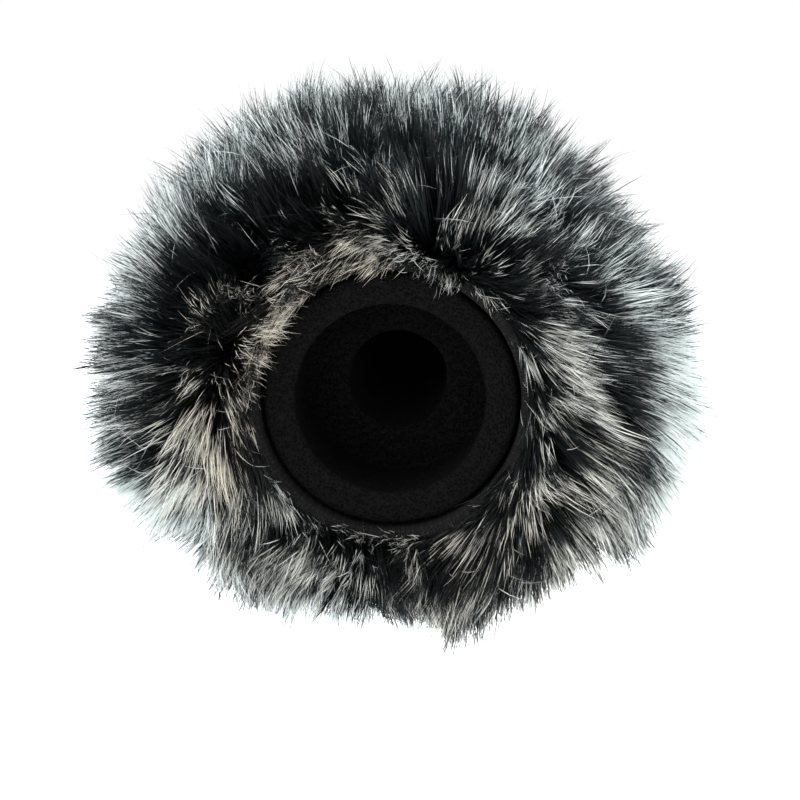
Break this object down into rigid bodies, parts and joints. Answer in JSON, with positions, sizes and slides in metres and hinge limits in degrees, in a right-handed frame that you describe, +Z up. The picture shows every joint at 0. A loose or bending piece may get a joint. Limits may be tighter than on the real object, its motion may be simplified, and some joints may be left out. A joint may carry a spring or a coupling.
{
  "type": "furry microphone windscreen",
  "caption": "Furry windscreen: long-pile slip-on cover with lining and elastic cuff over a moulded foam windshield with a stepped microphone socket.",
  "frame": {"origin": "centre of the foam's rear face, where the microphone goes in", "axes": "+Y along the microphone's axis to the nose, +Z up, +X to the right seen from behind"},
  "size_m": [0.15, 0.18, 0.126],
  "materials": {
    "open_cell_foam": "matt open-cell foam, fine pores",
    "long_pile_fur": "long synthetic pile, near-black blue-green roots, silver-white tips",
    "knitted_lining": "fine matt knit",
    "binding_tape": "matt woven tape",
    "rib_knit": "matt ribbed knit",
    "woven_elastic": "satin woven elastic",
    "sewing_thread": "satin spun thread"
  },
  "bodies": {
    "windshield_core": {"foam_core": "open_cell_foam"},
    "fur_cover": {"fur_gore_top": "long_pile_fur", "fur_gore_right": "long_pile_fur", "fur_gore_bottom": "long_pile_fur", "fur_gore_left": "long_pile_fur", "fur_nose_panel": "long_pile_fur", "lining_sleeve": "knitted_lining", "lining_cap": "knitted_lining", "seam_tape_1": "binding_tape", "seam_tape_2": "binding_tape", "seam_tape_3": "binding_tape", "seam_tape_4": "binding_tape", "nose_seam_tape": "binding_tape", "seam_thread_1": "sewing_thread", "seam_thread_2": "sewing_thread", "seam_thread_3": "sewing_thread", "seam_thread_4": "sewing_thread", "nose_seam_thread": "sewing_thread", "cuff": "rib_knit", "cuff_elastic": "woven_elastic", "tunnel_stitch": "sewing_thread", "rim_stitch": "sewing_thread", "elastic_bartack": "sewing_thread"}
  },
  "joints": [
    {"name": "cover_slip_off", "type": "slide", "parent": "windshield_core", "child": "fur_cover", "axis": [0, 1, 0], "range_m": [0, 0.122]}
  ]
}
